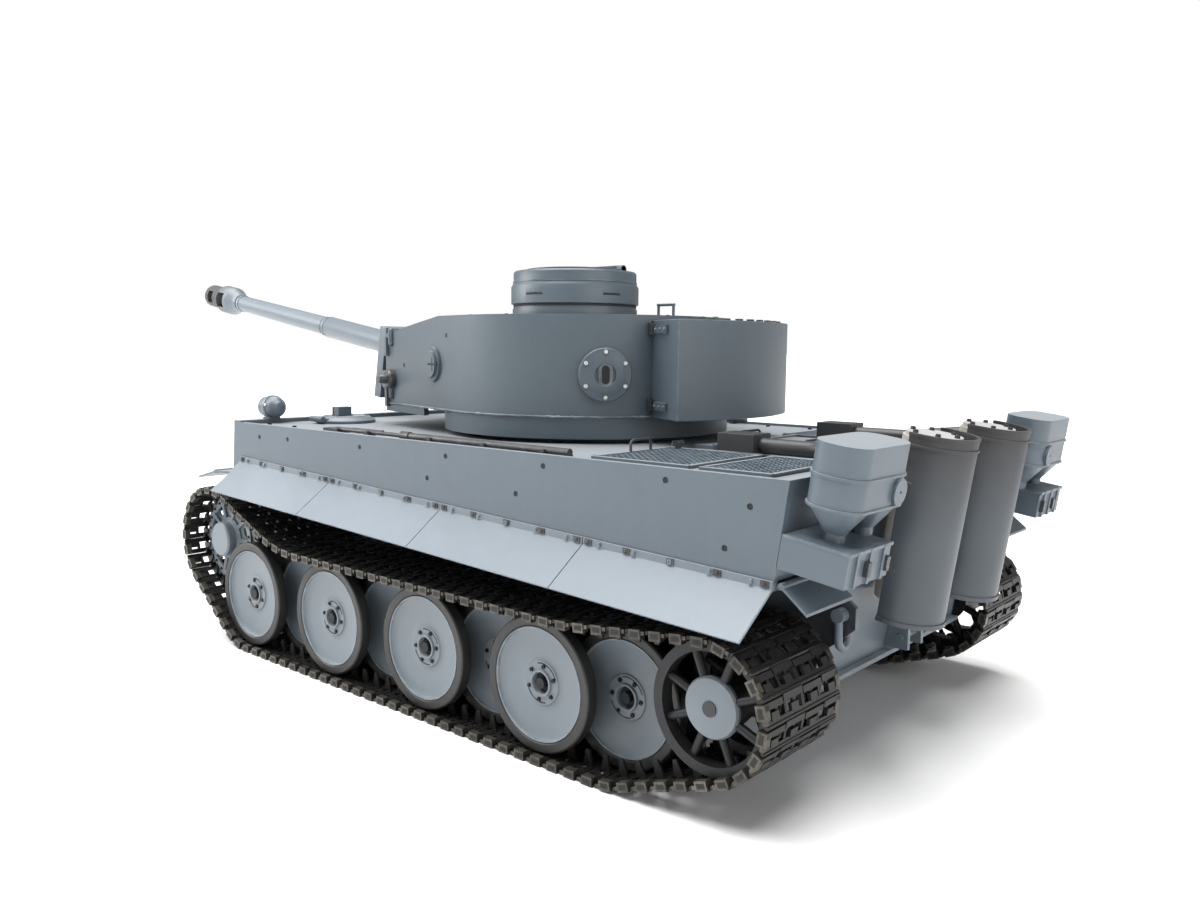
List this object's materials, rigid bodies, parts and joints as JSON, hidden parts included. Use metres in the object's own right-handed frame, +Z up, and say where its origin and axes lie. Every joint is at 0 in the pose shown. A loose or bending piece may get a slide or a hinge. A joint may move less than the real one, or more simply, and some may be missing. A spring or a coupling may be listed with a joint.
{
  "type": "radio-controlled tank model",
  "caption": "Radio-controlled scale heavy tank with turning turret, elevating and recoiling gun, opening hatches, interleaved wheels and link tracks.",
  "frame": {"origin": "on the ground, on the centre line, midway between the first and the last axle", "axes": "+X forward along the gun, +Y to the left, +Z up"},
  "size_m": [0.5425, 0.2314, 0.1882],
  "materials": {
    "hull_paint": "satin blue-grey paint",
    "skirt_paint": "satin blue-grey paint, paler",
    "turret_paint": "satin blue-grey paint",
    "barrel_paint": "satin blue-grey paint on turned metal",
    "track_steel": "blackened cast metal with bright worn edges",
    "wheel_paint": "satin blue-grey paint",
    "arm_steel": "dark steel",
    "shield_paint": "satin paint, sooted at the top",
    "muffler_metal": "tan heat-stained metal",
    "hose_rubber": "matt",
    "tool_metal": "satin paint",
    "screw_steel": "blackened",
    "gearbox_metal": "bare",
    "battery_wrap": "shrink wrap",
    "board_green": "solder mask",
    "black_plastic": "matt"
  },
  "bodies": {
    "hull": {"lower_hull": "hull_paint", "upper_hull": "hull_paint", "engine_deck": "hull_paint", "side_skirts": "skirt_paint", "left_track": "track_steel", "right_track": "track_steel", "swing_arms": "arm_steel", "exhaust_shields": "shield_paint", "mufflers": "muffler_metal", "air_filters": "hull_paint", "rear_boxes": "hull_paint", "air_hoses": "hose_rubber", "headlamp": "hull_paint", "deck_tools": "tool_metal", "driver_visor": "hull_paint", "hull_screws": "screw_steel", "drive_gearboxes": "gearbox_metal", "battery_pack": "battery_wrap", "control_board": "board_green", "speaker": "black_plastic", "turret_drive": "gearbox_metal"},
    "turret": {"turret_shell": "turret_paint", "turret_bin": "turret_paint", "cupola": "turret_paint", "turret_fittings": "turret_paint"},
    "gun_cradle": {"mantlet": "turret_paint", "elevation_unit": "gearbox_metal"},
    "barrel": {"gun_barrel": "barrel_paint"},
    "cupola_lid": {"cupola_hatch": "turret_paint"},
    "loader_lid": {"loader_hatch": "turret_paint"},
    "driver_lid": {"driver_hatch": "hull_paint"},
    "radio_lid": {"radio_hatch": "hull_paint"},
    "bow_ball": {"bow_gun": "barrel_paint"},
    "front_flap_left": {"front_left_flap": "skirt_paint"},
    "front_flap_right": {"front_right_flap": "skirt_paint"},
    "rear_flap_left": {"rear_left_flap": "skirt_paint"},
    "rear_flap_right": {"rear_right_flap": "skirt_paint"},
    "switch": {"power_switch": "black_plastic"},
    "shackle_left": {"left_shackle": "tool_metal"},
    "shackle_right": {"right_shackle": "tool_metal"},
    "sprocket_left": {"left_sprocket": "wheel_paint"},
    "sprocket_right": {"right_sprocket": "wheel_paint"},
    "idler_left": {"left_idler": "wheel_paint"},
    "idler_right": {"right_idler": "wheel_paint"},
    "wheel_left_1": {"left_wheel_1": "wheel_paint"},
    "wheel_left_2": {"left_wheel_2": "wheel_paint"},
    "wheel_left_3": {"left_wheel_3": "wheel_paint"},
    "wheel_left_4": {"left_wheel_4": "wheel_paint"},
    "wheel_left_5": {"left_wheel_5": "wheel_paint"},
    "wheel_left_6": {"left_wheel_6": "wheel_paint"},
    "wheel_left_7": {"left_wheel_7": "wheel_paint"},
    "wheel_left_8": {"left_wheel_8": "wheel_paint"},
    "wheel_right_1": {"right_wheel_1": "wheel_paint"},
    "wheel_right_2": {"right_wheel_2": "wheel_paint"},
    "wheel_right_3": {"right_wheel_3": "wheel_paint"},
    "wheel_right_4": {"right_wheel_4": "wheel_paint"},
    "wheel_right_5": {"right_wheel_5": "wheel_paint"},
    "wheel_right_6": {"right_wheel_6": "wheel_paint"},
    "wheel_right_7": {"right_wheel_7": "wheel_paint"},
    "wheel_right_8": {"right_wheel_8": "wheel_paint"}
  },
  "joints": [
    {"name": "turret_traverse", "type": "hinge", "parent": "hull", "child": "turret", "pos_m": [-0.0095, 0, 0.11], "axis": [0, 0, 1], "continuous": true},
    {"name": "gun_elevation", "type": "hinge", "parent": "turret", "child": "gun_cradle", "pos_m": [0.072, 0, 0.1377], "axis": [0, -1, 0], "range_deg": [-11.5, 6.7]},
    {"name": "barrel_recoil", "type": "slide", "parent": "gun_cradle", "child": "barrel", "axis": [-0.9869, 0, -0.1616], "range_m": [0, 0.012], "stiffness_N_per_m": 60, "springref_m": -0.02},
    {"name": "cupola_hatch_hinge", "type": "hinge", "parent": "turret", "child": "cupola_lid", "pos_m": [-0.03, 0.009, 0.1819], "axis": [1, 0, 0], "range_deg": [0, 100]},
    {"name": "loader_hatch_hinge", "type": "hinge", "parent": "turret", "child": "loader_lid", "pos_m": [0.0212, -0.031, 0.1629], "axis": [0, 1, 0], "range_deg": [0, 100]},
    {"name": "driver_hatch_hinge", "type": "hinge", "parent": "hull", "child": "driver_lid", "pos_m": [0.1118, 0.0673, 0.1104], "axis": [-1, 0, 0], "range_deg": [0, 100]},
    {"name": "radio_hatch_hinge", "type": "hinge", "parent": "hull", "child": "radio_lid", "pos_m": [0.1118, -0.0673, 0.1104], "axis": [1, 0, 0], "range_deg": [0, 100]},
    {"name": "bow_gun_swing", "type": "hinge", "parent": "hull", "child": "bow_ball", "pos_m": [0.13667, -0.042, 0.097], "axis": [0, 0, 1], "range_deg": [-15, 15]},
    {"name": "front_left_flap_hinge", "type": "hinge", "parent": "hull", "child": "front_flap_left", "pos_m": [0.1596, 0.0788, 0.0823], "axis": [0, -1, 0], "range_deg": [0, 95]},
    {"name": "rear_left_flap_hinge", "type": "hinge", "parent": "hull", "child": "rear_flap_left", "pos_m": [-0.1738, 0.0788, 0.077], "axis": [0, 1, 0], "range_deg": [0, 30]},
    {"name": "left_shackle_swing", "type": "hinge", "parent": "hull", "child": "shackle_left", "pos_m": [-0.1754, 0.059, 0.0615], "axis": [0, 1, 0], "range_deg": [0, 100]},
    {"name": "front_right_flap_hinge", "type": "hinge", "parent": "hull", "child": "front_flap_right", "pos_m": [0.1596, -0.0788, 0.0823], "axis": [0, -1, 0], "range_deg": [0, 95]},
    {"name": "rear_right_flap_hinge", "type": "hinge", "parent": "hull", "child": "rear_flap_right", "pos_m": [-0.1738, -0.0788, 0.077], "axis": [0, 1, 0], "range_deg": [0, 30]},
    {"name": "right_shackle_swing", "type": "hinge", "parent": "hull", "child": "shackle_right", "pos_m": [-0.1754, -0.059, 0.0615], "axis": [0, 1, 0], "range_deg": [0, 100]},
    {"name": "power_switch_slide", "type": "slide", "parent": "hull", "child": "switch", "axis": [1, 0, 0], "range_m": [0, 0.006]},
    {"name": "left_drive", "type": "hinge", "parent": "hull", "child": "sprocket_left", "pos_m": [0.1425, 0.0882, 0.05], "axis": [0, 1, 0], "continuous": true},
    {"name": "left_idler_spin", "type": "hinge", "parent": "hull", "child": "idler_left", "pos_m": [-0.155, 0.0882, 0.037], "axis": [0, 1, 0], "continuous": true},
    {"name": "left_wheel_1_spin", "type": "hinge", "parent": "hull", "child": "wheel_left_1", "pos_m": [0.11267, 0.0882, 0.02728], "axis": [0, 1, 0], "continuous": true},
    {"name": "left_wheel_2_spin", "type": "hinge", "parent": "hull", "child": "wheel_left_2", "pos_m": [0.08048, 0.0882, 0.02728], "axis": [0, 1, 0], "continuous": true},
    {"name": "left_wheel_3_spin", "type": "hinge", "parent": "hull", "child": "wheel_left_3", "pos_m": [0.04829, 0.0882, 0.02728], "axis": [0, 1, 0], "continuous": true},
    {"name": "left_wheel_4_spin", "type": "hinge", "parent": "hull", "child": "wheel_left_4", "pos_m": [0.0161, 0.0882, 0.02728], "axis": [0, 1, 0], "continuous": true},
    {"name": "left_wheel_5_spin", "type": "hinge", "parent": "hull", "child": "wheel_left_5", "pos_m": [-0.0161, 0.0882, 0.02728], "axis": [0, 1, 0], "continuous": true},
    {"name": "left_wheel_6_spin", "type": "hinge", "parent": "hull", "child": "wheel_left_6", "pos_m": [-0.04829, 0.0882, 0.02728], "axis": [0, 1, 0], "continuous": true},
    {"name": "left_wheel_7_spin", "type": "hinge", "parent": "hull", "child": "wheel_left_7", "pos_m": [-0.08048, 0.0882, 0.02728], "axis": [0, 1, 0], "continuous": true},
    {"name": "left_wheel_8_spin", "type": "hinge", "parent": "hull", "child": "wheel_left_8", "pos_m": [-0.11267, 0.0882, 0.02728], "axis": [0, 1, 0], "continuous": true},
    {"name": "right_drive", "type": "hinge", "parent": "hull", "child": "sprocket_right", "pos_m": [0.1425, -0.0882, 0.05], "axis": [0, 1, 0], "continuous": true},
    {"name": "right_idler_spin", "type": "hinge", "parent": "hull", "child": "idler_right", "pos_m": [-0.155, -0.0882, 0.037], "axis": [0, 1, 0], "continuous": true},
    {"name": "right_wheel_1_spin", "type": "hinge", "parent": "hull", "child": "wheel_right_1", "pos_m": [0.11267, -0.0882, 0.02728], "axis": [0, 1, 0], "continuous": true},
    {"name": "right_wheel_2_spin", "type": "hinge", "parent": "hull", "child": "wheel_right_2", "pos_m": [0.08048, -0.0882, 0.02728], "axis": [0, 1, 0], "continuous": true},
    {"name": "right_wheel_3_spin", "type": "hinge", "parent": "hull", "child": "wheel_right_3", "pos_m": [0.04829, -0.0882, 0.02728], "axis": [0, 1, 0], "continuous": true},
    {"name": "right_wheel_4_spin", "type": "hinge", "parent": "hull", "child": "wheel_right_4", "pos_m": [0.0161, -0.0882, 0.02728], "axis": [0, 1, 0], "continuous": true},
    {"name": "right_wheel_5_spin", "type": "hinge", "parent": "hull", "child": "wheel_right_5", "pos_m": [-0.0161, -0.0882, 0.02728], "axis": [0, 1, 0], "continuous": true},
    {"name": "right_wheel_6_spin", "type": "hinge", "parent": "hull", "child": "wheel_right_6", "pos_m": [-0.04829, -0.0882, 0.02728], "axis": [0, 1, 0], "continuous": true},
    {"name": "right_wheel_7_spin", "type": "hinge", "parent": "hull", "child": "wheel_right_7", "pos_m": [-0.08048, -0.0882, 0.02728], "axis": [0, 1, 0], "continuous": true},
    {"name": "right_wheel_8_spin", "type": "hinge", "parent": "hull", "child": "wheel_right_8", "pos_m": [-0.11267, -0.0882, 0.02728], "axis": [0, 1, 0], "continuous": true}
  ],
  "couplings": [
    {"joint": "left_idler_spin", "follows": "left_drive", "ratio": 1.153},
    {"joint": "left_wheel_1_spin", "follows": "left_drive", "ratio": 1},
    {"joint": "left_wheel_2_spin", "follows": "left_drive", "ratio": 1},
    {"joint": "left_wheel_3_spin", "follows": "left_drive", "ratio": 1},
    {"joint": "left_wheel_4_spin", "follows": "left_drive", "ratio": 1},
    {"joint": "left_wheel_5_spin", "follows": "left_drive", "ratio": 1},
    {"joint": "left_wheel_6_spin", "follows": "left_drive", "ratio": 1},
    {"joint": "left_wheel_7_spin", "follows": "left_drive", "ratio": 1},
    {"joint": "left_wheel_8_spin", "follows": "left_drive", "ratio": 1},
    {"joint": "right_idler_spin", "follows": "right_drive", "ratio": 1.153},
    {"joint": "right_wheel_1_spin", "follows": "right_drive", "ratio": 1},
    {"joint": "right_wheel_2_spin", "follows": "right_drive", "ratio": 1},
    {"joint": "right_wheel_3_spin", "follows": "right_drive", "ratio": 1},
    {"joint": "right_wheel_4_spin", "follows": "right_drive", "ratio": 1},
    {"joint": "right_wheel_5_spin", "follows": "right_drive", "ratio": 1},
    {"joint": "right_wheel_6_spin", "follows": "right_drive", "ratio": 1},
    {"joint": "right_wheel_7_spin", "follows": "right_drive", "ratio": 1},
    {"joint": "right_wheel_8_spin", "follows": "right_drive", "ratio": 1}
  ]
}
